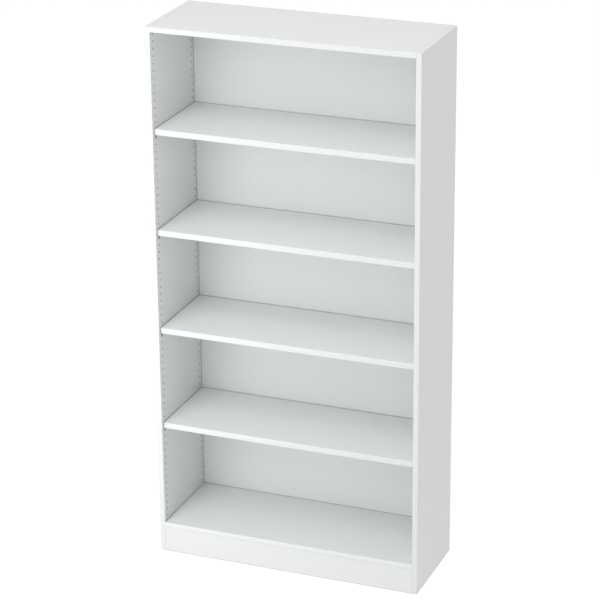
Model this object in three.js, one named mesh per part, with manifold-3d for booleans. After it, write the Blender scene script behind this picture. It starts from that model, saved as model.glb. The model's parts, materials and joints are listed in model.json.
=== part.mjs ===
import * as THREE from 'three';
import { mergeVertices } from 'three/addons/utils/BufferGeometryUtils.js';
import Module from 'manifold-3d';

// Tall open bookcase: two drilled side panels, a top and a bottom panel held between them by cam
// fittings and dowels, a plinth, a grooved-in back, and four shelves that rest on plug-in supports.
// Millimetres, +Z up, front towards -Y, origin on the floor under the middle of the carcass.

// Driving dimensions
const height = 1880;
const width = 942;
const depth = 350;
const boardThickness = 18;
const plinthHeight = 91;
const bandThickness = 1;
const shelfThickness = 20;
const shelfSetback = 12.5;
const shelfEndGap = 1;
const shelfBackGap = 2;
const backThickness = 3.2;
const backSetIn = 338.5;

// Gaps between pieces that meet
const glueLine = 0.1;
const jointGap = 0.2;
const restGap = 0.3;

// Rows of blind holes for the shelf supports, drilled in each side panel
const holeDiameter = 5;
const holeDepth = 10;
const holePitch = 25;
const holeCount = 70;
const firstHoleHeight = 126.5;
const frontRow = 22.6;
const rearRow = 323;
const shelfHoleNumbers = [55, 41, 27, 13];

// Plug-in shelf support: an angle of bent steel with a pin
const support = {
  width: 7, rise: 11, drop: 3.5, reach: 13, sheet: 1.5, pinDiameter: 4.6, pinLength: 8.5, bendRadius: 1.5,
};

// Cam fittings: distances from the panel's end and from the front
const camInset = 22;
const camFront = 32;
const camRear = 304;
const cam = {
  diameter: 14.6, height: 11, pocketDiameter: 15, pocketDepth: 13.4,
  slotWidth: 1.6, slotLength: 8, slotDepth: 1.5,
};
const bolt = {
  tipDiameter: 3, tipLength: 1.5, threadDiameter: 4.6, threadLength: 10, shankDiameter: 6,
  neckDiameter: 4.4, neckLength: 5, headDiameter: 6.8, headLength: 3,
};
const boltBore = 8;
const boltPilot = { diameter: 5, depth: 11 };
const cap = {
  diameter: 17.6, thickness: 1.3, rimBevel: 0.8, rimHeight: 0.8, stemDiameter: 13.6, stemLength: 1.5,
};

// Wooden dowels between the cam fittings and at the plinth's ends
const dowel = { diameter: 7.6, holeDiameter: 8, length: 29, inSide: 10, chamfer: 1 };
const dowelY = 168;

// Facets around each round feature
const holeSides = 6;
const pinSides = 8;
const smallRoundSides = 10;
const camSides = 16;
const bendSteps = 3;

// Places worked out from the dimensions
const front = -depth / 2;
const innerHalfWidth = width / 2 - boardThickness;
const topUnderside = height - boardThickness;
const bottomTop = plinthHeight + boardThickness;
const coreFront = front + bandThickness + glueLine;
const backFront = front + backSetIn;
const grooveDepth = 6;
const grooveFront = backFront - jointGap;
const grooveRear = backFront + backThickness + jointGap;
const overshoot = 1;

const colours = { board: 0xf1f4f3, back: 0xeef1f0, steel: 0x8f9496, zinc: 0xa9acad, beech: 0xd9b98a };
const material = (name, color, roughness, metalness) =>
  new THREE.MeshStandardMaterial({ name, color, roughness, metalness });
const boardMaterial = material('white_melamine_board', colours.board, 0.45, 0);
const bandMaterial = material('white_edge_band', colours.board, 0.38, 0);
const backMaterial = material('white_back_board', colours.back, 0.6, 0);
const supportMaterial = material('nickel_plated_steel', colours.steel, 0.3, 1);
const fittingMaterial = material('zinc_fitting', colours.zinc, 0.45, 1);
const dowelMaterial = material('beech_dowel', colours.beech, 0.75, 0);
const capMaterial = material('white_cover_cap', colours.board, 0.35, 0);

// Solids

const wasm = await Module();
wasm.setup();

function toSolid(geometry) {
  const bare = geometry.clone();
  bare.deleteAttribute('normal');
  bare.deleteAttribute('uv');
  const merged = mergeVertices(bare);
  const vertProperties = new Float32Array(merged.attributes.position.array);
  const triVerts = new Uint32Array(merged.index.array);
  return new wasm.Manifold(new wasm.Mesh({ numProp: 3, vertProperties, triVerts }));
}

function toGeometry(solid) {
  const mesh = solid.getMesh();
  const geometry = new THREE.BufferGeometry();
  geometry.setAttribute('position', new THREE.BufferAttribute(mesh.vertProperties, 3));
  geometry.setIndex(new THREE.BufferAttribute(mesh.triVerts, 1));
  geometry.computeVertexNormals();
  return geometry;
}

// A box from its lowest to its highest corner
function box([x0, y0, z0], [x1, y1, z1]) {
  const geometry = new THREE.BoxGeometry(x1 - x0, y1 - y0, z1 - z0);
  return geometry.translate((x0 + x1) / 2, (y0 + y1) / 2, (z0 + z1) / 2);
}

// A round bar along X from x0 to x1
function barAlongX(diameter, x0, x1, y, z, sides) {
  const geometry = new THREE.CylinderGeometry(diameter / 2, diameter / 2, Math.abs(x1 - x0), sides);
  return geometry.rotateZ(Math.PI / 2).translate((x0 + x1) / 2, y, z);
}

// A bore along X whose flats clear the named diameter
function boreAlongX(diameter, x0, x1, y, z, sides) {
  return barAlongX(diameter / Math.cos(Math.PI / sides), x0, x1, y, z, sides);
}

// A round bar along Z from z0 to z1
function barAlongZ(diameter, z0, z1, x, y, sides) {
  const geometry = new THREE.CylinderGeometry(diameter / 2, diameter / 2, z1 - z0, sides);
  return geometry.rotateX(Math.PI / 2).translate(x, y, (z0 + z1) / 2);
}

function cut(geometry, cutters) {
  const left = cutters.reduce((solid, cutter) => solid.subtract(toSolid(cutter)), toSolid(geometry));
  return toGeometry(left);
}

function join(geometries) {
  const [first, ...rest] = geometries.map(toSolid);
  return toGeometry(rest.reduce((solid, next) => solid.add(next), first));
}

// Scene graph

const bookcase = new THREE.Group();

function place(name, geometry, ownMaterial, x, y, z, turn = 0) {
  const mesh = new THREE.Mesh(geometry, ownMaterial.clone());
  mesh.name = name;
  mesh.position.set(x, y, z);
  mesh.rotation.z = turn;
  bookcase.add(mesh);
}

const holeHeight = (number) => firstHoleHeight + number * holePitch;
const sides = [{ label: 'left', sign: -1 }, { label: 'right', sign: 1 }];
const fittingPlaces = [{ label: 'front', y: front + camFront }, { label: 'rear', y: front + camRear }];
const supportRows = [{ label: 'front', y: front + frontRow }, { label: 'rear', y: front + rearRow }];
const panelLevels = [
  { label: 'top', axisHeight: topUnderside + boardThickness / 2 },
  { label: 'bottom', axisHeight: plinthHeight + boardThickness / 2 },
];
const plinthAxis = { y: front + boardThickness / 2, z: plinthHeight / 2 };

// Side panel: local x runs outwards from the inner face, local y and z are the bookcase's own
function sidePanel(sign) {
  const outward = (a, b) => [Math.min(sign * a, sign * b), Math.max(sign * a, sign * b)];
  const [bodyLow, bodyHigh] = outward(0, boardThickness);
  const body = box([bodyLow, coreFront, 0], [bodyHigh, depth / 2, height]);
  const [grooveLow, grooveHigh] = outward(-overshoot, grooveDepth);
  const groove = box([grooveLow, grooveFront, -overshoot], [grooveHigh, grooveRear, height + overshoot]);
  const drilled = (diameter, holeEnd, y, z, facets) =>
    boreAlongX(diameter, ...outward(-overshoot, holeEnd), y, z, facets);
  const holeNumbers = Array.from({ length: holeCount }, (_, number) => number);
  const shelfHoles = supportRows.flatMap((row) => holeNumbers.map((number) =>
    drilled(holeDiameter, holeDepth, row.y, holeHeight(number), holeSides)));
  const pilotHoles = panelLevels.flatMap((level) => fittingPlaces.map((fitting) =>
    drilled(boltPilot.diameter, boltPilot.depth, fitting.y, level.axisHeight, pinSides)));
  const dowelPlaces = [
    ...panelLevels.map((level) => ({ y: front + dowelY, z: level.axisHeight })),
    plinthAxis,
  ];
  const dowelHoles = dowelPlaces.map(({ y, z }) =>
    drilled(dowel.holeDiameter, dowel.inSide + overshoot, y, z, smallRoundSides));
  return cut(body, [groove, ...shelfHoles, ...pilotHoles, ...dowelHoles]);
}

// Bores in both ends of a panel: one per cam bolt and one for the dowel
function endBores(halfLength, axisHeight) {
  return sides.flatMap(({ sign }) => {
    const end = sign * (halfLength + overshoot);
    const dowelEnd = sign * (innerHalfWidth - (dowel.length - dowel.inSide) - overshoot);
    return [
      ...fittingPlaces.map(({ y }) =>
        boreAlongX(boltBore, end, sign * (innerHalfWidth - camInset), y, axisHeight, smallRoundSides)),
      boreAlongX(dowel.holeDiameter, end, dowelEnd, front + dowelY, axisHeight, smallRoundSides),
    ];
  });
}

// Top or bottom panel: z is measured from the face that looks into the bookcase, and inward is the
// direction from the panel into the nearest compartment
function horizontalPanel(inward) {
  const halfLength = innerHalfWidth - jointGap;
  const inPanel = (a, b) => [Math.min(-inward * a, -inward * b), Math.max(-inward * a, -inward * b)];
  const [low, high] = inPanel(0, boardThickness);
  const body = box([-halfLength, coreFront, low], [halfLength, depth / 2, high]);
  const [grooveLow, grooveHigh] = inPanel(-overshoot, grooveDepth);
  const reach = halfLength + overshoot;
  const groove = box([-reach, grooveFront, grooveLow], [reach, grooveRear, grooveHigh]);
  const pockets = sides.flatMap(({ sign }) => fittingPlaces.map(({ y }) => {
    const [pocketLow, pocketHigh] = inPanel(-overshoot, cam.pocketDepth);
    const x = sign * (innerHalfWidth - camInset);
    return barAlongZ(cam.pocketDiameter, pocketLow, pocketHigh, x, y, camSides);
  }));
  return cut(body, [groove, ...pockets, ...endBores(halfLength, -inward * boardThickness / 2)]);
}

function plinthBoard() {
  const halfLength = innerHalfWidth - jointGap;
  const body = box([-halfLength, front, 0], [halfLength, front + boardThickness, plinthHeight - jointGap]);
  const bores = sides.map(({ sign }) => {
    const boreEnd = sign * (innerHalfWidth - (dowel.length - dowel.inSide) - overshoot);
    const start = sign * (halfLength + overshoot);
    return boreAlongX(dowel.holeDiameter, start, boreEnd, plinthAxis.y, plinthAxis.z, smallRoundSides);
  });
  return cut(body, bores);
}

function backPanel() {
  const inGroove = grooveDepth - jointGap;
  const halfLength = innerHalfWidth + inGroove;
  return box(
    [-halfLength, backFront, bottomTop - inGroove],
    [halfLength, backFront + backThickness, topUnderside + inGroove],
  );
}

// Shelf board, and the banding on its front edge; z is measured from the shelf's underside
function shelfBoard() {
  const halfLength = innerHalfWidth - shelfEndGap;
  const boardFront = front + shelfSetback + bandThickness + glueLine;
  return box([-halfLength, boardFront, 0], [halfLength, backFront - shelfBackGap, shelfThickness]);
}

function shelfBand() {
  const halfLength = innerHalfWidth - shelfEndGap;
  const bandFront = front + shelfSetback;
  return box([-halfLength, bandFront, 0], [halfLength, bandFront + bandThickness, shelfThickness]);
}

// Shelf support with its pin along -X and its ledge along +X; the pin's axis is the local origin
function shelfSupport() {
  const { rise, drop, reach, sheet, bendRadius } = support;
  const face = glueLine;
  const outline = new THREE.Shape();
  outline.moveTo(face, -drop);
  outline.lineTo(face + sheet, -drop);
  outline.lineTo(face + sheet, rise - sheet);
  outline.lineTo(reach, rise - sheet);
  outline.lineTo(reach, rise);
  outline.lineTo(face + bendRadius, rise);
  outline.absarc(face + bendRadius, rise - bendRadius, bendRadius, Math.PI / 2, Math.PI, false);
  const extrusion = { depth: support.width, bevelEnabled: false, curveSegments: bendSteps };
  const angle = new THREE.ExtrudeGeometry(outline, extrusion);
  angle.rotateX(Math.PI / 2).translate(0, support.width / 2, 0);
  const pin = barAlongX(support.pinDiameter, -support.pinLength, face + sheet / 2, 0, 0, pinSides);
  return join([angle, pin]);
}

// Cam: local z runs from its closed end to its slotted face, and its hook opens along +X
function camHousing(boltAxisHeight) {
  const body = barAlongZ(cam.diameter, 0, cam.height, 0, 0, camSides);
  const hookStart = -bolt.headDiameter / 2;
  const hook = boreAlongX(boltBore, hookStart, cam.diameter, 0, boltAxisHeight, smallRoundSides);
  const [slotX, slotY] = [cam.slotLength / 2, cam.slotWidth / 2];
  const slotFloor = cam.height - cam.slotDepth;
  const slot = box([-slotX, -slotY, slotFloor], [slotX, slotY, cam.height + overshoot]);
  const crossSlot = box([-slotY, -slotX, slotFloor], [slotY, slotX, cam.height + overshoot]);
  return cut(body, [hook, slot, crossSlot]);
}

// Cam bolt: local x runs from the tip of its thread, through its collar at x = threadLength, to its head
function camBolt() {
  const shankEnd = bolt.threadLength + camInset - cam.diameter / 2;
  const headStart = shankEnd + bolt.neckLength;
  const headEnd = headStart + bolt.headLength;
  const profile = [
    [0, 0],
    [bolt.tipDiameter / 2, 0],
    [bolt.threadDiameter / 2, bolt.tipLength],
    [bolt.threadDiameter / 2, bolt.threadLength + jointGap],
    [bolt.shankDiameter / 2, bolt.threadLength + jointGap],
    [bolt.shankDiameter / 2, shankEnd],
    [bolt.neckDiameter / 2, shankEnd],
    [bolt.neckDiameter / 2, headStart],
    [bolt.headDiameter / 2, headStart],
    [bolt.headDiameter / 2, headEnd],
    [0, headEnd],
  ];
  const geometry = new THREE.LatheGeometry(profile.map(([r, x]) => new THREE.Vector2(r, x)), pinSides);
  return toGeometry(toSolid(geometry.rotateZ(-Math.PI / 2)));
}

function dowelPeg() {
  const { length, chamfer } = dowel;
  const radius = dowel.diameter / 2;
  const profile = [[0, 0], [radius - chamfer, 0], [radius, chamfer], [radius, length - chamfer],
    [radius - chamfer, length], [0, length]];
  const points = profile.map(([r, x]) => new THREE.Vector2(r, x));
  const geometry = new THREE.LatheGeometry(points, smallRoundSides);
  return toGeometry(toSolid(geometry.rotateZ(-Math.PI / 2)));
}

// Cover cap: a thin disc with a bevelled rim over a short plug; z is measured from the board's face
function coverCap() {
  const rim = cap.diameter / 2;
  const plug = cap.stemDiameter / 2;
  const profile = [[0, -cap.stemLength], [plug, -cap.stemLength], [plug, glueLine], [rim, glueLine],
    [rim, cap.rimHeight], [rim - cap.rimBevel, cap.thickness], [0, cap.thickness]];
  const geometry = new THREE.LatheGeometry(profile.map(([r, z]) => new THREE.Vector2(r, z)), camSides);
  return toGeometry(toSolid(geometry.rotateX(Math.PI / 2)));
}

// Carcass boards and their banding

function addSides() {
  sides.forEach(({ label, sign }) => {
    place(`side_panel_${label}`, sidePanel(sign), boardMaterial, sign * innerHalfWidth, 0, 0);
    const half = boardThickness / 2;
    const bandBox = box([-half, front, 0], [half, front + bandThickness, height]);
    const middle = sign * (innerHalfWidth + half);
    place(`side_edge_band_${label}`, bandBox, bandMaterial, middle, 0, 0);
  });
}

function addHorizontalPanels() {
  const halfLength = innerHalfWidth - jointGap;
  const bandBox = (low) =>
    box([-halfLength, front, low], [halfLength, front + bandThickness, low + boardThickness]);
  place('top_panel', horizontalPanel(-1), boardMaterial, 0, 0, topUnderside);
  place('top_edge_band', bandBox(0), bandMaterial, 0, 0, topUnderside);
  place('bottom_panel', horizontalPanel(1), boardMaterial, 0, 0, bottomTop);
  place('bottom_edge_band', bandBox(-boardThickness), bandMaterial, 0, 0, bottomTop);
}

// Shelves and their supports, numbered from the top

function addShelves() {
  shelfHoleNumbers.forEach((holeNumber, index) => {
    const number = index + 1;
    const pinHeight = holeHeight(holeNumber);
    const underside = pinHeight + support.rise + restGap;
    place(`shelf_${number}`, shelfBoard(), boardMaterial, 0, 0, underside);
    place(`shelf_${number}_edge_band`, shelfBand(), bandMaterial, 0, 0, underside);
    supportRows.forEach((row) => sides.forEach(({ label, sign }) => {
      const turn = sign < 0 ? 0 : Math.PI;
      const name = `support_${number}_${row.label}_${label}`;
      place(name, shelfSupport(), supportMaterial, sign * innerHalfWidth, row.y, pinHeight, turn);
    }));
  });
}

// Cams, bolts and dowels of the four carcass corners; only the bottom cams carry cover caps

function addCorner(level, inwardFace, inward, { label, sign }) {
  const camX = sign * (innerHalfWidth - camInset);
  const closedEnd = inwardFace - inward * (cam.pocketDepth - jointGap);
  const boltAxisHeight = cam.pocketDepth - jointGap - boardThickness / 2;
  const turn = sign < 0 ? 0 : Math.PI;
  fittingPlaces.forEach((fitting) => {
    const corner = `${level.label}_${fitting.label}_${label}`;
    const housing = camHousing(boltAxisHeight);
    if (sign < 0) housing.rotateZ(Math.PI);
    if (inward < 0) housing.rotateX(Math.PI);
    place(`cam_${corner}`, housing, fittingMaterial, camX, fitting.y, closedEnd);
    const threadTip = sign * (innerHalfWidth + bolt.threadLength);
    place(`cam_bolt_${corner}`, camBolt(), fittingMaterial, threadTip, fitting.y, level.axisHeight, turn);
  });
  const dowelTip = sign * (innerHalfWidth + dowel.inSide);
  const dowelName = `dowel_${level.label}_${label}`;
  place(dowelName, dowelPeg(), dowelMaterial, dowelTip, front + dowelY, level.axisHeight, turn);
}

function addFittings() {
  const [top, bottom] = panelLevels;
  sides.forEach((side) => {
    addCorner(top, topUnderside, -1, side);
    addCorner(bottom, bottomTop, 1, side);
    fittingPlaces.forEach((fitting) => {
      const x = side.sign * (innerHalfWidth - camInset);
      place(`cover_cap_${fitting.label}_${side.label}`, coverCap(), capMaterial, x, fitting.y, bottomTop);
    });
    const dowelTip = side.sign * (innerHalfWidth + dowel.inSide);
    const turn = side.sign < 0 ? 0 : Math.PI;
    const name = `dowel_plinth_${side.label}`;
    place(name, dowelPeg(), dowelMaterial, dowelTip, plinthAxis.y, plinthAxis.z, turn);
  });
}

addSides();
addHorizontalPanels();
place('plinth_board', plinthBoard(), boardMaterial, 0, 0, 0);
place('back_panel', backPanel(), backMaterial, 0, 0, 0);
addShelves();
addFittings();

export default bookcase;
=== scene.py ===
import json
import math

import bmesh
import bpy
from mathutils import Matrix, Vector


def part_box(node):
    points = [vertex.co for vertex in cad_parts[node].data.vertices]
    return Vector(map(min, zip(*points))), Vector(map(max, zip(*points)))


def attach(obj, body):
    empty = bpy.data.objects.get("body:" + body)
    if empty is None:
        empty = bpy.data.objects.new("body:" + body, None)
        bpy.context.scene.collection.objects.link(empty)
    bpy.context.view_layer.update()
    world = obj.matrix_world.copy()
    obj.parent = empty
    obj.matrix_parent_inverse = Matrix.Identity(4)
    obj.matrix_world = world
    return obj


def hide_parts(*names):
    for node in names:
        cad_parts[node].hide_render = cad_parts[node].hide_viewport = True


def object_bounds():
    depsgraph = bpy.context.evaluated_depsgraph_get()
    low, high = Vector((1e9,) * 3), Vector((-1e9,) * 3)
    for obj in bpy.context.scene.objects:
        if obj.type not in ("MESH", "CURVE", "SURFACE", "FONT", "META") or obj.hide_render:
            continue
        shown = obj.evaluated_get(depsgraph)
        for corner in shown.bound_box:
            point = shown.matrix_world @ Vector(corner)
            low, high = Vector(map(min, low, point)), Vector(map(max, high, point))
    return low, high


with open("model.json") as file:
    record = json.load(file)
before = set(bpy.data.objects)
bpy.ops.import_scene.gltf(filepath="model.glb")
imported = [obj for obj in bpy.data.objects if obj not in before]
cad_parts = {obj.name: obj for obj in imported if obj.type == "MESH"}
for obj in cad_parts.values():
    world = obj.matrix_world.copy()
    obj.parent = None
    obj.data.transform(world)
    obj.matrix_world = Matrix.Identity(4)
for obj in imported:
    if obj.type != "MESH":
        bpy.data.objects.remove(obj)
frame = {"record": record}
cad_low, cad_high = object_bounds()
centre = (cad_low + cad_high) / 2

MM = 0.001
AXES = {"x": 0, "y": 1, "z": 2}
SIDES = ("left", "right")
ROWS = ("front", "rear")
LEVELS = ("top", "bottom")
CORNERS = [(level, row) for level in LEVELS for row in ROWS]
DOWEL_KINDS = (*LEVELS, "plinth")
OUTWARD = {"left": -1.0, "right": 1.0}
SHELVES = (1, 2, 3, 4)
BODY_OF = {
    node: body
    for body, nodes in frame["record"]["behaviour"]["bodies"].items()
    for node in nodes
}

# The photograph's camera, in degrees and metres: it looks at the middle of the bookcase from the
# front right and above, and is turned a little about its own line of sight.
CAMERA_AZIMUTH = 21.767
CAMERA_ELEVATION = 21.5
CAMERA_ROLL = -0.544
CAMERA_DISTANCE = 8.28
CAMERA_LENS_MM = 148.97
CAMERA_FAR_LIMIT = 100.0
CAMERA_AIM_OFFSET = Vector((0.001, -0.0295, 0.0059))

# Rows of holes for the shelf supports.
HOLE_PITCH = 25 * MM
HOLE_COUNT = 70
HOLE_RADIUS = 2.5 * MM
HOLE_DEPTH = 10 * MM
HOLES_BELOW_LOWEST_SHELF = 13
PIN_ABOVE_SUPPORT_FOOT = 3.5 * MM
PIN_RADIUS = 2.3 * MM

# Shapes of edges and fits.
BOARD_EDGE_RADIUS = 0.35 * MM
BOARD_EDGE_STEPS = 2
BAND_EDGE_RADIUS = 0.6 * MM
BAND_EDGE_STEPS = 4
HOLE_RIM = 0.25 * MM
FIT = 0.2 * MM
# How far a cutter reaches past the face it enters.
CUT_PAST = 1 * MM
# Points closer together than this are merged after a cut.
SLIVER = 0.002 * MM
# Places that differ by less than this count as the same.
SAME_PLACE = 0.02 * MM
ROUND_STEPS = 24
BORE_STEPS = 16
POCKET_STEPS = 32

# Edges that turn by more than this many degrees stay sharp when a piece is shaded smooth.
BAND_SHARP_ANGLE = 60
SUPPORT_SHARP_ANGLE = 35
CAP_SHARP_ANGLE = 50
CAM_SHARP_ANGLE = 35
BOLT_SHARP_ANGLE = 40
DOWEL_SHARP_ANGLE = 50

# Shelf support: bent sheet with a riveted pin.
SHEET = 1.5 * MM
SHEET_EDGE_RADIUS = 0.3 * MM
SHEET_TO_PANEL = 0.1 * MM
CORNER_RADIUS = 2.5 * MM
PIN_TIP_CHAMFER = 0.6 * MM
RIVET_HEIGHT = 0.6 * MM
RIVET_CHAMFER = 0.3 * MM
# Steps along a straight stretch of the sheet, close together at its free end for the round corners.
STRIP_STEPS = [0.0, 0.02, 0.06, 0.12, 0.2, 0.3, 1.0]
BEND_STEPS = 6

# Cover cap: a flat stem under a disc whose edge is domed.
CAP_STEM_SHARE = 0.77
CAP_DOME_WIDTH = 1.4 * MM
CAP_DOME_START = 0.35
CAP_DOME_STEPS = 6
CAP_STEPS = 48

# Cam housing: a drum with a flange at its open face, a bore for the bolt and a cross recess.
CAM_CHAMFER = 0.4 * MM
CAM_FLANGE_PROUD = 0.4 * MM
CAM_FLANGE_HEIGHT = 1.4 * MM
CAM_STEPS = 40
CAM_HOOK_RADIUS = 3.9 * MM
CAM_HOOK_START = -3.4 * MM
RECESS_ARM = 4.2 * MM
RECESS_HALF_WIDTH = 0.85 * MM
RECESS_DEPTH = 1.6 * MM

# Cam bolt: its thread, then (distance, radius) pairs after the thread and before the head's end.
BOLT_BORE_RADIUS = 4 * MM
BOLT_PILOT_RADIUS = 2.5 * MM
BOLT_PILOT_DEPTH = 11 * MM
THREAD_PITCH = 1.8 * MM
THREAD_DEPTH = 0.45 * MM
THREAD_CORE = 1.75 * MM
THREAD_STEP = 0.15 * MM
# The crest falls away on each side over a third of the pitch.
THREAD_FLANK_SLOPE = 3.0
# The core widens from its blunt end, which is this far along the taper.
THREAD_TAPER = 2.2 * MM
THREAD_BLUNT_END = 0.3 * MM
BOLT_AFTER_THREAD = [(0.1 * MM, 2.9 * MM), (1.2 * MM, 3.0 * MM), (1.4 * MM, 2.6 * MM)]
BOLT_BEFORE_END = [
    (8.4 * MM, 2.6 * MM), (8.0 * MM, 2.1 * MM), (3.6 * MM, 2.1 * MM), (3.1 * MM, 2.9 * MM),
    (2.4 * MM, 3.3 * MM), (1.2 * MM, 3.3 * MM), (0.4 * MM, 2.7 * MM), (0.0, 1.8 * MM),
]

# Dowel: flutes along its length and chamfered ends.
FLUTES = 12
FLUTE_DEPTH = 0.25 * MM
FLUTE_STEPS = 6
DOWEL_CHAMFER = 1.2 * MM

# Colours of the board faces, the banding and the back. Two of them are lighter and darker copies that
# paint light and shade on the bottom band and the plinth. Then how far the painted shade in their joints
# reaches and how dark it gets.
BOARD_WHITE = (0.755, 0.770, 0.768)
BAND_WHITE = (0.703, 0.714, 0.712)
# Lighter copy of the banding's white: painted light on the bottom band.
LIT_BOTTOM_BAND_WHITE = (0.740, 0.752, 0.750)
# Darker copy of the board's white: painted shade on the plinth.
SHADED_PLINTH_WHITE = (0.725, 0.737, 0.735)
BACK_WHITE = (0.862, 0.880, 0.878)
CAP_WHITE = (0.78, 0.79, 0.79)
# Painted shade in joints and corners: how far it reaches and how dark it gets.
JOINT_SHADE_REACH = 4 * MM
JOINT_SHADE_TONE = (0.42, 0.425, 0.43)

# Floor and studio light.
PURE_WHITE = (1.0, 1.0, 1.0, 1.0)
FLOOR_HALF_SIZE = 30.0
FLOOR_GLOW = 0.90
WORLD_STRENGTH = 0.42


# Materials

def new_material(name, roughness, metallic=0.0):
    """A node material, with its node tree, its shader and the piece's own coordinates."""
    material = bpy.data.materials.new(name)
    material.use_nodes = True
    tree = material.node_tree
    surface = tree.nodes["Principled BSDF"]
    surface.inputs["Roughness"].default_value = roughness
    surface.inputs["Metallic"].default_value = metallic
    place = tree.nodes.new("ShaderNodeTexCoord").outputs["Object"]
    return material, tree, surface, place


def stretched(tree, place, scale):
    """Coordinates scaled along each axis: a small scale draws a pattern out along that axis."""
    mapping = tree.nodes.new("ShaderNodeMapping")
    mapping.inputs["Scale"].default_value = scale
    tree.links.new(place, mapping.inputs["Vector"])
    return mapping.outputs["Vector"]


def noise(tree, place, scale, detail=2.0):
    node = tree.nodes.new("ShaderNodeTexNoise")
    node.inputs["Scale"].default_value = scale
    node.inputs["Detail"].default_value = detail
    tree.links.new(place, node.inputs["Vector"])
    return node.outputs["Fac"]


def cells(tree, place, scale):
    """A random colour for each cell of a pattern of flakes."""
    node = tree.nodes.new("ShaderNodeTexVoronoi")
    node.inputs["Scale"].default_value = scale
    tree.links.new(place, node.inputs["Vector"])
    return node.outputs["Color"]


def ramp(tree, factor, stops):
    """A colour for each value of factor, from (position, colour) stops."""
    node = tree.nodes.new("ShaderNodeValToRGB")
    while len(node.color_ramp.elements) < len(stops):
        node.color_ramp.elements.new(0.5)
    for element, (position, colour) in zip(node.color_ramp.elements, stops):
        element.position = position
        element.color = (*colour, 1.0)
    tree.links.new(factor, node.inputs["Fac"])
    return node.outputs["Color"]


def multiplied(tree, first, second):
    """The product of two colours."""
    node = tree.nodes.new("ShaderNodeMix")
    node.data_type = "RGBA"
    node.blend_type = "MULTIPLY"
    colour_inputs = [s for s in node.inputs if s.type == "RGBA"]
    colour_output = next(s for s in node.outputs if s.type == "RGBA")
    node.inputs["Factor"].default_value = 1.0
    tree.links.new(first, colour_inputs[0])
    tree.links.new(second, colour_inputs[1])
    return colour_output


def spread(tree, value, low, high, from_low=0.3, from_high=0.7):
    """Stretches value from the range of a noise, or another one, to low and high."""
    node = tree.nodes.new("ShaderNodeMapRange")
    node.inputs["From Min"].default_value = from_low
    node.inputs["From Max"].default_value = from_high
    node.inputs["To Min"].default_value = low
    node.inputs["To Max"].default_value = high
    tree.links.new(value, node.inputs["Value"])
    return node.outputs["Result"]


def relief(tree, surface, height, depth, strength=1.0, under=None):
    """Adds a bump of the given depth in metres on top of an earlier one."""
    node = tree.nodes.new("ShaderNodeBump")
    node.inputs["Strength"].default_value = strength
    node.inputs["Distance"].default_value = depth
    tree.links.new(height, node.inputs["Height"])
    if under is not None:
        tree.links.new(under, node.inputs["Normal"])
    tree.links.new(node.outputs["Normal"], surface.inputs["Normal"])
    return node.outputs["Normal"]


def shade(colour, factor):
    return tuple(channel * factor for channel in colour)


def painted_joint_shade(tree, colour):
    """Paints shade into a colour in narrow joints and corners: darker where ambient occlusion finds other
    surfaces close by.
    """
    occlusion = tree.nodes.new("ShaderNodeAmbientOcclusion")
    occlusion.samples = 4
    occlusion.inputs["Distance"].default_value = JOINT_SHADE_REACH
    unshaded_share = spread(tree, occlusion.outputs["AO"], low=0.0, high=1.0, from_low=0.45, from_high=0.95)
    tone = ramp(tree, unshaded_share, [(0.0, JOINT_SHADE_TONE), (1.0, (1.0,) * 3)])
    return multiplied(tree, colour, tone)


def melamine(name, white):
    """Melamine-faced board: satin white with a fine pearl grain, a very faint cloudiness and painted
    shade in its joints.
    """
    material, tree, surface, place = new_material(name, roughness=0.42)
    cloud = noise(tree, place, scale=3.0, detail=3.0)
    base = ramp(tree, cloud, [(0.3, shade(white, 0.985)), (0.7, white)])
    pearl = noise(tree, place, scale=900.0)
    grain = ramp(tree, pearl, [(0.35, (0.985,) * 3), (0.65, (1.0,) * 3)])
    # Painted shade: the colour darkens in joints and corners.
    tree.links.new(painted_joint_shade(tree, multiplied(tree, base, grain)), surface.inputs["Base Color"])
    wear = noise(tree, place, scale=35.0, detail=3.0)
    tree.links.new(spread(tree, wear, low=0.38, high=0.48), surface.inputs["Roughness"])
    wave = relief(tree, surface, noise(tree, place, scale=14.0, detail=1.0), depth=0.06 * MM)
    relief(tree, surface, pearl, depth=0.02 * MM, strength=0.6, under=wave)
    return material


def edge_band(name, along, white):
    """ABS banding: a little glossier than the board, with faint lines along its length."""
    material, tree, surface, place = new_material(name, roughness=0.34)
    drawn_out = [1.0, 1.0, 1.0]
    drawn_out[AXES[along]] = 0.02
    lines = noise(tree, stretched(tree, place, drawn_out), scale=1500.0)
    tint = ramp(tree, lines, [(0.3, shade(white, 0.988)), (0.7, white)])
    tree.links.new(tint, surface.inputs["Base Color"])
    wear = noise(tree, place, scale=60.0)
    tree.links.new(spread(tree, wear, low=0.30, high=0.40), surface.inputs["Roughness"])
    relief(tree, surface, lines, depth=0.01 * MM, strength=0.5)
    return material


def hardboard(name):
    """Lacquered hardboard: a flatter white with a soft orange-peel surface and painted shade in its
    joints.
    """
    material, tree, surface, place = new_material(name, roughness=0.52)
    cloud = noise(tree, place, scale=2.2, detail=4.0)
    base = ramp(tree, cloud, [(0.3, shade(BACK_WHITE, 0.98)), (0.7, BACK_WHITE)])
    # Painted shade: the colour darkens in joints and corners.
    tree.links.new(painted_joint_shade(tree, base), surface.inputs["Base Color"])
    peel = noise(tree, place, scale=320.0)
    tree.links.new(spread(tree, peel, low=0.48, high=0.58), surface.inputs["Roughness"])
    relief(tree, surface, peel, depth=0.04 * MM, strength=0.6)
    return material


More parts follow.
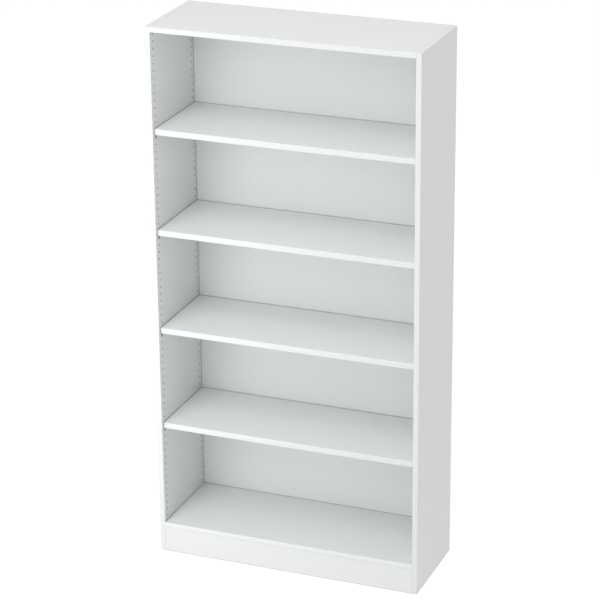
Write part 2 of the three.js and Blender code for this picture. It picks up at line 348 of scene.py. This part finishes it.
def chipboard(name, depth_of_tone):
    """Raw chipboard: pressed flakes from straw to brown, rough and slightly open. depth_of_tone is 1
    for a sawn edge, and less for the wall of a drilled hole, where the darker tone is painted shade."""
    material, tree, surface, place = new_material(name, roughness=0.85)
    flakes = cells(tree, stretched(tree, place, (0.6, 0.6, 1.0)), scale=700.0)
    tones = (0.20, 0.12, 0.06), (0.42, 0.29, 0.16), (0.62, 0.47, 0.30)
    stops = [(position, shade(tone, depth_of_tone)) for position, tone in zip((0.1, 0.4, 0.8), tones)]
    flake_tone = ramp(tree, flakes, stops)
    specks = noise(tree, place, scale=260.0, detail=4.0)
    dust = ramp(tree, specks, [(0.3, (0.75,) * 3), (0.7, (1.0,) * 3)])
    tree.links.new(multiplied(tree, flake_tone, dust), surface.inputs["Base Color"])
    relief(tree, surface, flakes, depth=0.15 * MM, strength=0.8)
    return material


def plated_steel(name, tone):
    """Nickel-plated pressed steel: darkish metal with fine rolling lines and a few duller spots."""
    material, tree, surface, place = new_material(name, roughness=0.3, metallic=1.0)
    rolled = noise(tree, stretched(tree, place, (1.0, 0.05, 1.0)), scale=4000.0)
    tint = ramp(tree, rolled, [(0.3, shade(tone, 0.9)), (0.7, tone)])
    tree.links.new(tint, surface.inputs["Base Color"])
    dull_spots = noise(tree, place, scale=700.0, detail=3.0)
    tree.links.new(spread(tree, dull_spots, low=0.22, high=0.38), surface.inputs["Roughness"])
    relief(tree, surface, rolled, depth=0.008 * MM, strength=0.5)
    return material


def cast_zinc(name):
    """Die-cast zinc: matt grey metal with a fine sandy skin."""
    material, tree, surface, place = new_material(name, roughness=0.5, metallic=1.0)
    sand = noise(tree, place, scale=2500.0, detail=3.0)
    tint = ramp(tree, sand, [(0.3, (0.42, 0.43, 0.44)), (0.7, (0.55, 0.56, 0.57))])
    tree.links.new(tint, surface.inputs["Base Color"])
    tree.links.new(spread(tree, sand, low=0.42, high=0.58), surface.inputs["Roughness"])
    relief(tree, surface, sand, depth=0.02 * MM, strength=0.6)
    return material


def beech(name):
    """Plain beech: pale pinkish brown, with darker fibres along X."""
    material, tree, surface, place = new_material(name, roughness=0.7)
    fibres = noise(tree, stretched(tree, place, (0.08, 1.0, 1.0)), scale=900.0, detail=4.0)
    tone = ramp(tree, fibres, [(0.3, (0.50, 0.33, 0.19)), (0.7, (0.68, 0.49, 0.31))])
    tree.links.new(tone, surface.inputs["Base Color"])
    relief(tree, surface, fibres, depth=0.05 * MM, strength=0.6)
    return material


def moulded_plastic(name, white):
    """White moulded plastic with a faint sheen variation."""
    material, tree, surface, place = new_material(name, roughness=0.32)
    sheen = noise(tree, place, scale=1200.0)
    tint = ramp(tree, sheen, [(0.3, shade(white, 0.985)), (0.7, white)])
    tree.links.new(tint, surface.inputs["Base Color"])
    tree.links.new(spread(tree, sheen, low=0.28, high=0.38), surface.inputs["Roughness"])
    relief(tree, surface, sheen, depth=0.008 * MM, strength=0.5)
    return material


MATERIALS = {
    "board": melamine("white_melamine", BOARD_WHITE),
    # Darker copy of the board melamine: painted shade on the plinth.
    "plinth": melamine("shaded_plinth_melamine", SHADED_PLINTH_WHITE),
    "band": edge_band("white_band", "x", BAND_WHITE),
    "upright_band": edge_band("white_upright_band", "z", BAND_WHITE),
    # Lighter copy of the banding: painted light on the bottom band.
    "bottom_band": edge_band("lit_white_bottom_band", "x", LIT_BOTTOM_BAND_WHITE),
    "back": hardboard("white_hardboard"),
    "raw": chipboard("sawn_chipboard", 1.0),
    # Much darker chipboard for the walls of drilled holes and pockets: painted shade.
    "drilled": chipboard("shaded_drilled_chipboard", 0.22),
    "steel": plated_steel("dark_nickel_steel", (0.30, 0.305, 0.31)),
    "zinc": cast_zinc("cast_zinc"),
    "beech": beech("beech"),
    "cap": moulded_plastic("white_cap_plastic", CAP_WHITE),
}


# Mesh building

def new_object(name, data):
    item = bpy.data.objects.new(name, data)
    bpy.context.scene.collection.objects.link(item)
    return item


def finish_piece(mesh, node, material=None, sharp_angle=None):
    """Makes the object for a CAD node's fine piece, and says what it rides on and stands for."""
    if material is not None:
        mesh.materials.append(MATERIALS[material])
    if sharp_angle is not None:
        mesh.shade_smooth()
        mesh.set_sharp_from_angle(angle=math.radians(sharp_angle))
    piece = new_object(f"{node}_fine", mesh)
    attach(piece, BODY_OF[node])
    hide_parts(node)
    return piece


def to_mesh(bm, name):
    mesh = bpy.data.meshes.new(name)
    bmesh.ops.recalc_face_normals(bm, faces=bm.faces)
    bm.to_mesh(mesh)
    bm.free()
    return mesh


def box_bmesh(low, high):
    bm = bmesh.new()
    bmesh.ops.create_cube(bm, size=1.0)
    size = high - low
    box_centre = (high + low) / 2
    for vertex in bm.verts:
        vertex.co = Vector(box_centre[i] + vertex.co[i] * size[i] for i in range(3))
    return bm


def soften(bm, edges, radius, segments):
    bmesh.ops.bevel(bm, geom=edges, offset=radius, segments=segments, profile=0.5, affect="EDGES")


def board_bmesh(low, high, raw_faces=()):
    """A board with softened edges. raw_faces lists the faces, such as +y, left as raw chipboard."""
    bm = box_bmesh(low, high)
    bm.faces.ensure_lookup_table()
    for face in bm.faces:
        axis = max(range(3), key=lambda i: abs(face.normal[i]))
        direction = ("+" if face.normal[axis] > 0 else "-") + "xyz"[axis]
        face.material_index = 1 if direction in raw_faces else 0
    soften(bm, list(bm.edges), BOARD_EDGE_RADIUS, BOARD_EDGE_STEPS)
    return bm


def ring(bm, steps, point_at):
    """A closed row of vertices; point_at gives the point at each angle."""
    return [bm.verts.new(point_at(2 * math.pi * step / steps)) for step in range(steps)]


def skin(bm, rings):
    """Joins each ring to the next with faces, and closes both ends."""
    for lower, upper in zip(rings, rings[1:]):
        for step in range(len(lower)):
            after = (step + 1) % len(lower)
            bm.faces.new((lower[step], lower[after], upper[after], upper[step]))
    bm.faces.new(rings[0])
    bm.faces.new(rings[-1])


def around_x(x, radius, angle):
    return x, radius * math.cos(angle), radius * math.sin(angle)


def around_z(z, radius, angle):
    return radius * math.cos(angle), radius * math.sin(angle), z


def rod_bmesh(profile, steps=ROUND_STEPS):
    """A turned solid about Z, from the (radius, height) pairs of its outline."""
    bm = bmesh.new()
    rings = [ring(bm, steps, lambda angle: around_z(height, radius, angle)) for radius, height in profile]
    skin(bm, rings)
    return bm


def turn(axis, sign=1.0):
    """The rotation that takes +Z to the signed axis."""
    direction = Vector((0, 0, 0))
    direction[AXES[axis]] = sign
    return Vector((0, 0, 1)).rotation_difference(direction).to_matrix().to_4x4()


def add_bore(bm, axis, start, length, radius, rim=0.0, sign=1.0, steps=ROUND_STEPS):
    """Adds a round cutter to bm that starts at start and runs along the signed axis.
    With a rim, start is the mouth of the hole, and the mouth is widened by that much."""
    profile = [(radius, -CUT_PAST), (radius, length)]
    if rim:
        profile = [(radius + rim, -CUT_PAST), (radius + rim, 0), (radius, rim), (radius, length)]
    bore = rod_bmesh(profile, steps)
    bore.transform(Matrix.Translation(start) @ turn(axis, sign))
    add_mesh(bm, bore)


def add_mesh(bm, other):
    mesh = to_mesh(other, "part")
    bm.from_mesh(mesh)
    bpy.data.meshes.remove(mesh)


def carve(mesh, cutter_bmesh, cutter_material):
    """Cuts the closed solids in cutter_bmesh out of mesh. The cut faces get cutter_material."""
    cutter_mesh = to_mesh(cutter_bmesh, "cutter")
    cutter_mesh.materials.append(cutter_material)
    body = new_object("carved", mesh)
    cutter = new_object("cutter", cutter_mesh)
    cut = body.modifiers.new("cut", "BOOLEAN")
    cut.object = cutter
    cut.operation = "DIFFERENCE"
    cut.solver = "EXACT"
    cut.material_mode = "TRANSFER"
    evaluated = body.evaluated_get(bpy.context.evaluated_depsgraph_get())
    carved = bpy.data.meshes.new_from_object(evaluated)
    bpy.data.objects.remove(body)
    bpy.data.objects.remove(cutter)
    merge_slivers(carved)
    return carved


def merge_slivers(mesh):
    """Removes the needle-thin faces that a cut leaves where two edges almost meet."""
    bm = bmesh.new()
    bm.from_mesh(mesh)
    bmesh.ops.remove_doubles(bm, verts=bm.verts, dist=SLIVER)
    bmesh.ops.dissolve_degenerate(bm, edges=bm.edges, dist=SLIVER)
    bm.to_mesh(mesh)
    bm.free()


def middle(node):
    low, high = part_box(node)
    return (low + high) / 2


# Places that the frame gives

inner_face = {
    "left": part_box("side_panel_left")[1].x,
    "right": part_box("side_panel_right")[0].x,
}
row_y = {row: middle(f"support_1_{row}_left").y for row in ROWS}
lowest_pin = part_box("support_4_front_left")[0].z + PIN_ABOVE_SUPPORT_FOOT
first_hole = lowest_pin - HOLES_BELOW_LOWEST_SHELF * HOLE_PITCH
back_low, back_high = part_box("back_panel")


# Boards

def add_groove(bm):
    """The groove round the back panel, as a cutter a little larger than the panel."""
    margin = Vector((FIT, FIT, FIT))
    add_mesh(bm, box_bmesh(back_low - margin, back_high + margin))


def add_dowel_bores(bm, nodes):
    for node in nodes:
        low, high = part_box(node)
        start = Vector((low.x - FIT, middle(node).y, middle(node).z))
        add_bore(bm, "x", start, high.x - low.x + 2 * FIT, (high.z - low.z) / 2 + FIT)


def new_board(node, raw_faces, facing="board"):
    """The mesh of a melamine board, with raw chipboard on the faces that raw_faces lists."""
    mesh = to_mesh(board_bmesh(*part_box(node), raw_faces), node)
    mesh.materials.append(MATERIALS[facing])
    mesh.materials.append(MATERIALS["raw"])
    return mesh


def side_panel(side):
    node = f"side_panel_{side}"
    mesh = new_board(node, ("+y", "-z"))
    cutters = bmesh.new()
    add_groove(cutters)
    for row in ROWS:
        for number in range(HOLE_COUNT):
            mouth = Vector((inner_face[side], row_y[row], first_hole + number * HOLE_PITCH))
            add_bore(cutters, "x", mouth, HOLE_DEPTH, HOLE_RADIUS, rim=HOLE_RIM, sign=OUTWARD[side],
                     steps=BORE_STEPS)
    for level, row in CORNERS:
        bolt = middle(f"cam_bolt_{level}_{row}_{side}")
        mouth = Vector((inner_face[side], bolt.y, bolt.z))
        add_bore(cutters, "x", mouth, BOLT_PILOT_DEPTH, BOLT_PILOT_RADIUS, rim=HOLE_RIM,
                 sign=OUTWARD[side], steps=BORE_STEPS)
    add_dowel_bores(cutters, [f"dowel_{kind}_{side}" for kind in DOWEL_KINDS])
    return finish_piece(carve(mesh, cutters, MATERIALS["drilled"]), node)


def add_cam_pocket(bm, level, row, side, face):
    """The round pocket of a cam, from the panel's face that looks into the bookcase."""
    low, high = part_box(f"cam_{level}_{row}_{side}")
    closed_end = low.z if level == "bottom" else high.z
    into_board = -1.0 if level == "bottom" else 1.0
    mouth = Vector(((low.x + high.x) / 2, (low.y + high.y) / 2, face))
    depth = abs(closed_end - face) + FIT
    radius = (high.x - low.x) / 2 + FIT
    add_bore(bm, "z", mouth, depth, radius, rim=HOLE_RIM, sign=into_board, steps=POCKET_STEPS)


def add_bolt_bore(bm, level, row, side):
    """The bore from a cam's pocket to the panel's end, for the cam bolt."""
    cam_x = middle(f"cam_{level}_{row}_{side}").x
    bolt = middle(f"cam_bolt_{level}_{row}_{side}")
    length = abs(inner_face[side] - cam_x) + CUT_PAST
    start = Vector((cam_x, bolt.y, bolt.z))
    add_bore(bm, "x", start, length, BOLT_BORE_RADIUS, sign=OUTWARD[side], steps=BORE_STEPS)


def horizontal_panel(level):
    node = f"{level}_panel"
    low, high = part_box(node)
    face = high.z if level == "bottom" else low.z
    mesh = new_board(node, ("+y", "-x", "+x"))
    pockets = bmesh.new()
    bores = bmesh.new()
    add_groove(bores)
    for side in SIDES:
        for row in ROWS:
            add_cam_pocket(pockets, level, row, side, face)
            add_bolt_bore(bores, level, row, side)
    add_dowel_bores(bores, [f"dowel_{level}_{side}" for side in SIDES])
    mesh = carve(mesh, pockets, MATERIALS["drilled"])
    return finish_piece(carve(mesh, bores, MATERIALS["raw"]), node)


def plinth():
    node = "plinth_board"
    mesh = new_board(node, ("-z", "-x", "+x"), "plinth")
    cutters = bmesh.new()
    add_dowel_bores(cutters, [f"dowel_plinth_{side}" for side in SIDES])
    return finish_piece(carve(mesh, cutters, MATERIALS["drilled"]), node)


def back():
    node = "back_panel"
    return finish_piece(to_mesh(board_bmesh(back_low, back_high), node), node, "back")


def shelf(number):
    node = f"shelf_{number}"
    return finish_piece(to_mesh(board_bmesh(*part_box(node)), node), node, "board")


def band(node, along="x", finish="band"):
    """A banding strip whose two long front edges are rounded."""
    low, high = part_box(node)
    bm = box_bmesh(low, high)
    lengthways = AXES[along]
    front_edges = [
        edge for edge in bm.edges
        if all(abs(vertex.co.y - low.y) < SAME_PLACE for vertex in edge.verts)
        and abs(edge.verts[0].co[lengthways] - edge.verts[1].co[lengthways]) > SAME_PLACE
    ]
    soften(bm, front_edges, BAND_EDGE_RADIUS, BAND_EDGE_STEPS)
    return finish_piece(to_mesh(bm, node), node, finish, BAND_SHARP_ANGLE)


# Shelf supports

def bend_path(rise, reach):
    """Middle line of the support's sheet, as (x, z, direction), from its foot round the bend to its lip.
    X is counted from the panel's face and Z from the middle of the pin."""
    radius = SHEET
    upright_x = SHEET_TO_PANEL + SHEET / 2
    ledge_z = rise - SHEET / 2
    bend_start = ledge_z - radius
    bend_end = upright_x + radius
    foot = -PIN_ABOVE_SUPPORT_FOOT
    points = [(upright_x, foot + t * (bend_start - foot), math.pi / 2) for t in STRIP_STEPS]
    for step in range(1, BEND_STEPS):
        angle = math.pi - step * math.pi / 2 / BEND_STEPS
        x = bend_end + radius * math.cos(angle)
        z = bend_start + radius * math.sin(angle)
        points.append((x, z, angle - math.pi / 2))
    points += [(bend_end + (1 - t) * (reach - bend_end), ledge_z, 0.0) for t in reversed(STRIP_STEPS)]
    return points


def distances_along(path):
    distances = [0.0]
    for (x0, z0, _), (x1, z1, _) in zip(path, path[1:]):
        distances.append(distances[-1] + math.hypot(x1 - x0, z1 - z0))
    return distances


def corner_inset(from_end):
    """How much narrower a strip with round corners is at this distance from its end."""
    if from_end >= CORNER_RADIUS:
        return 0.0
    return CORNER_RADIUS - math.sqrt(CORNER_RADIUS ** 2 - (CORNER_RADIUS - from_end) ** 2)


def sheet_section(half_width):
    """The strip's section with softened edges, as (across, through) pairs round it."""
    soft = SHEET_EDGE_RADIUS
    top = SHEET / 2
    upper = [(half_width, top - soft), (half_width - soft, top)]
    upper += [(-across, through) for across, through in reversed(upper)]
    return upper + [(across, -through) for across, through in reversed(upper)]


def support_bmesh(width, rise, reach):
    """A strip of sheet bent to a right angle, with rounded corners and softened edges."""
    path = bend_path(rise, reach)
    distances = distances_along(path)
    bm = bmesh.new()
    rings = []
    for (x, z, heading), along in zip(path, distances):
        half_width = width / 2 - corner_inset(min(along, distances[-1] - along))
        normal = Vector((-math.sin(heading), 0, math.cos(heading)))
        rings.append([
            bm.verts.new(Vector((x, across, z)) + normal * through)
            for across, through in sheet_section(half_width)
        ])
    skin(bm, rings)
    return bm


def add_pin(bm, pin_length):
    """The pin, with a chamfered tip and a low riveted head on the plate."""
    plate_face = SHEET_TO_PANEL + SHEET
    profile = [
        (PIN_RADIUS - PIN_TIP_CHAMFER, -pin_length), (PIN_RADIUS, -pin_length + PIN_TIP_CHAMFER),
        (PIN_RADIUS, SHEET_TO_PANEL), (PIN_RADIUS, plate_face + RIVET_HEIGHT - RIVET_CHAMFER),
        (PIN_RADIUS - RIVET_CHAMFER, plate_face + RIVET_HEIGHT),
    ]
    pin = rod_bmesh(profile)
    pin.transform(turn("x"))
    add_mesh(bm, pin)


def support(number, row, side):
    node = f"support_{number}_{row}_{side}"
    low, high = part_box(node)
    pin_height = low.z + PIN_ABOVE_SUPPORT_FOOT
    panel = inner_face[side]
    pin_length, reach = sorted((abs(low.x - panel), abs(high.x - panel)))
    bm = support_bmesh(high.y - low.y, high.z - pin_height, reach)
    add_pin(bm, pin_length)
    piece = finish_piece(to_mesh(bm, node), node, "steel", SUPPORT_SHARP_ANGLE)
    piece.location = (panel, middle(node).y, pin_height)
    piece.rotation_euler.z = 0.0 if side == "left" else math.pi
    return piece


# Fittings

def cover_cap(row, side):
    node = f"cover_cap_{row}_{side}"
    low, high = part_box(node)
    rim = (high.x - low.x) / 2
    stem = rim * CAP_STEM_SHARE
    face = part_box("bottom_panel")[1].z
    rise = high.z - face
    underside = FIT / 2
    profile = [(stem, low.z - face), (stem, underside), (rim, underside), (rim, rise * CAP_DOME_START)]
    for step in range(1, CAP_DOME_STEPS + 1):
        angle = math.pi / 2 * step / CAP_DOME_STEPS
        radius = rim - CAP_DOME_WIDTH * (1 - math.cos(angle))
        height = rise * (CAP_DOME_START + (1 - CAP_DOME_START) * math.sin(angle))
        profile.append((radius, height))
    mesh = to_mesh(rod_bmesh(profile, CAP_STEPS), node)
    piece = finish_piece(mesh, node, "cap", CAP_SHARP_ANGLE)
    piece.location = (middle(node).x, middle(node).y, face)
    return piece


def recess_arm(long_axis, face):
    """One arm of the cross recess, as a cutter that reaches out of the cam's face."""
    half_size = [RECESS_HALF_WIDTH, RECESS_HALF_WIDTH]
    half_size[long_axis] = RECESS_ARM
    low = Vector((-half_size[0], -half_size[1], face - RECESS_DEPTH))
    high = Vector((half_size[0], half_size[1], face + CUT_PAST))
    return box_bmesh(low, high)


def cam(level, row, side):
    """Cam housing: a drum with a cross recess in its face and an opening for the bolt's head."""
    node = f"cam_{level}_{row}_{side}"
    low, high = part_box(node)
    closed_end = low.z if level == "bottom" else high.z
    bolt_height = abs(middle(f"cam_bolt_{level}_{row}_{side}").z - closed_end)
    radius = (high.x - low.x) / 2
    height = high.z - low.z
    drum = radius - CAM_FLANGE_PROUD
    profile = [
        (drum - CAM_CHAMFER, 0), (drum, CAM_CHAMFER), (drum, height - CAM_FLANGE_HEIGHT - FIT),
        (radius, height - CAM_FLANGE_HEIGHT), (radius, height - CAM_CHAMFER),
        (radius - CAM_CHAMFER, height),
    ]
    mesh = to_mesh(rod_bmesh(profile, CAM_STEPS), node)
    mesh.materials.append(MATERIALS["zinc"])
    hook = bmesh.new()
    hook_length = 2 * radius
    add_bore(hook, "x", Vector((CAM_HOOK_START, 0, bolt_height)), hook_length, CAM_HOOK_RADIUS)
    for cutter in (hook, recess_arm(0, height), recess_arm(1, height)):
        mesh = carve(mesh, cutter, MATERIALS["zinc"])
    piece = finish_piece(mesh, node, sharp_angle=CAM_SHARP_ANGLE)
    piece.location = (middle(node).x, middle(node).y, closed_end)
    flip = 0.0 if level == "bottom" else math.pi
    towards_side = 0.0 if side == "right" else math.pi
    piece.rotation_euler = (flip, 0.0, towards_side)
    return piece


def thread_radius(x, angle):
    """Radius of the bolt's coarse thread: a helical crest on a core that narrows to the tip."""
    turn_share = angle / (2 * math.pi)
    phase = (x / THREAD_PITCH - turn_share) % 1.0
    crest = max(0.0, 1.0 - THREAD_FLANK_SLOPE * abs(phase - 0.5))
    taper = min(1.0, (x + THREAD_BLUNT_END) / THREAD_TAPER)
    return (THREAD_CORE + THREAD_DEPTH * crest) * taper


def cam_bolt(level, row, side):
    """Cam bolt: a coarse thread in the side panel, then collar, shank, neck and ball-like head."""
    node = f"cam_bolt_{level}_{row}_{side}"
    low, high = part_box(node)
    length = high.x - low.x
    tip = high.x if side == "right" else low.x
    thread_end = abs(tip - inner_face[side]) - FIT
    bm = bmesh.new()
    rings = []
    for number in range(int(thread_end / THREAD_STEP) + 1):
        x = number * THREAD_STEP
        rings.append(ring(bm, ROUND_STEPS, lambda angle: around_x(x, thread_radius(x, angle), angle)))
    turned = [(thread_end + distance, radius) for distance, radius in BOLT_AFTER_THREAD]
    turned += [(length - distance, radius) for distance, radius in BOLT_BEFORE_END]
    for x, radius in turned:
        rings.append(ring(bm, ROUND_STEPS, lambda angle: around_x(x, radius, angle)))
    skin(bm, rings)
    piece = finish_piece(to_mesh(bm, node), node, "zinc", BOLT_SHARP_ANGLE)
    piece.location = (tip, middle(node).y, middle(node).z)
    piece.rotation_euler.z = math.pi if side == "right" else 0.0
    return piece


def fluted(x, radius, angle):
    """A point round X on a rod with flutes along its length."""
    flute = FLUTE_DEPTH * (0.5 - 0.5 * math.cos(FLUTES * angle))
    return around_x(x, radius - flute, angle)


def dowel(node):
    """Fluted dowel with chamfered ends, along X."""
    low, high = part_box(node)
    length = high.x - low.x
    outer = (high.z - low.z) / 2
    ends = [(0, DOWEL_CHAMFER), (DOWEL_CHAMFER, 0), (length - DOWEL_CHAMFER, 0), (length, DOWEL_CHAMFER)]
    bm = bmesh.new()
    rings = []
    for x, shrink in ends:
        rings.append(ring(bm, FLUTES * FLUTE_STEPS, lambda angle: fluted(x, outer - shrink, angle)))
    skin(bm, rings)
    piece = finish_piece(to_mesh(bm, node), node, "beech", DOWEL_SHARP_ANGLE)
    piece.location = (low.x, middle(node).y, middle(node).z)
    return piece


def build_bookcase():
    for side in SIDES:
        side_panel(side)
        band(f"side_edge_band_{side}", "z", "upright_band")
    for level in LEVELS:
        horizontal_panel(level)
    band("top_edge_band")
    band("bottom_edge_band", finish="bottom_band")
    plinth()
    back()
    for number in SHELVES:
        shelf(number)
        band(f"shelf_{number}_edge_band")
        for row in ROWS:
            for side in SIDES:
                support(number, row, side)


def build_fittings():
    for side in SIDES:
        for row in ROWS:
            cover_cap(row, side)
        for level, row in CORNERS:
            cam(level, row, side)
            cam_bolt(level, row, side)
        for kind in DOWEL_KINDS:
            dowel(f"dowel_{kind}_{side}")


build_bookcase()
build_fittings()


# Floor, light and camera

def add_floor():
    bm = bmesh.new()
    bmesh.ops.create_grid(bm, x_segments=8, y_segments=8, size=FLOOR_HALF_SIZE)
    material, tree, surface, place = new_material("pale_floor", roughness=0.9)
    cloud = noise(tree, place, scale=1.5, detail=3.0)
    tone = ramp(tree, cloud, [(0.3, (0.195,) * 3), (0.7, (0.205,) * 3)])
    tree.links.new(tone, surface.inputs["Base Color"])
    surface.inputs["Specular IOR Level"].default_value = 0.1
    surface.inputs["Emission Color"].default_value = PURE_WHITE
    surface.inputs["Emission Strength"].default_value = FLOOR_GLOW
    mesh = to_mesh(bm, "studio_floor")
    mesh.materials.append(material)
    floor = new_object("studio_floor", mesh)


def direction_from(azimuth, elevation):
    """Unit vector from the object towards a viewer at that azimuth and elevation, in degrees."""
    turned, lifted = math.radians(azimuth), math.radians(elevation)
    return Vector((
        math.sin(turned) * math.cos(lifted),
        -math.cos(turned) * math.cos(lifted),
        math.sin(lifted),
    ))


def add_area_light(name, azimuth, elevation, distance, width, height, power):
    """A soft light aimed at the middle of the bookcase. Azimuths count as the camera's does."""
    light = bpy.data.lights.new(name, "AREA")
    light.shape = "RECTANGLE"
    light.size = width
    light.size_y = height
    light.energy = power
    holder = new_object(name, light)
    away = direction_from(azimuth, elevation)
    holder.location = centre + away * distance
    holder.rotation_euler = (-away).to_track_quat("-Z", "Y").to_euler()


def add_world():
    """Even studio light; the backdrop that the camera sees past the floor is plain white."""
    world = bpy.data.worlds.new("studio")
    bpy.context.scene.world = world
    world.use_nodes = True
    nodes, links = world.node_tree.nodes, world.node_tree.links
    light = nodes["Background"]
    light.inputs["Color"].default_value = PURE_WHITE
    light.inputs["Strength"].default_value = WORLD_STRENGTH
    backdrop = nodes.new("ShaderNodeBackground")
    backdrop.inputs["Color"].default_value = PURE_WHITE
    backdrop.inputs["Strength"].default_value = 1.0
    seen = nodes.new("ShaderNodeLightPath").outputs["Is Camera Ray"]
    mix = nodes.new("ShaderNodeMixShader")
    links.new(seen, mix.inputs[0])
    links.new(light.outputs[0], mix.inputs[1])
    links.new(backdrop.outputs[0], mix.inputs[2])
    links.new(mix.outputs[0], nodes["World Output"].inputs["Surface"])


def add_camera():
    data = bpy.data.cameras.new("camera")
    data.lens = CAMERA_LENS_MM
    data.clip_end = CAMERA_FAR_LIMIT
    camera = new_object("camera", data)
    away = direction_from(CAMERA_AZIMUTH, CAMERA_ELEVATION)
    camera.location = centre + CAMERA_AIM_OFFSET + away * CAMERA_DISTANCE
    upright = (-away).to_track_quat("-Z", "Y").to_matrix()
    roll = Matrix.Rotation(math.radians(CAMERA_ROLL), 3, "Z")
    camera.rotation_euler = (upright @ roll).to_euler()
    bpy.context.scene.camera = camera


add_floor()
add_world()
add_area_light("front_softbox", azimuth=0, elevation=45, distance=6, width=4, height=4, power=163)
add_area_light("left_strip", azimuth=-35, elevation=-5, distance=1.2, width=0.5, height=2.2, power=5.2)
add_area_light("overhead_softbox", azimuth=0, elevation=89, distance=4.5, width=6, height=6, power=97)
add_camera()
bpy.context.scene.view_settings.view_transform = "Standard"

bpy.context.view_layer.update()
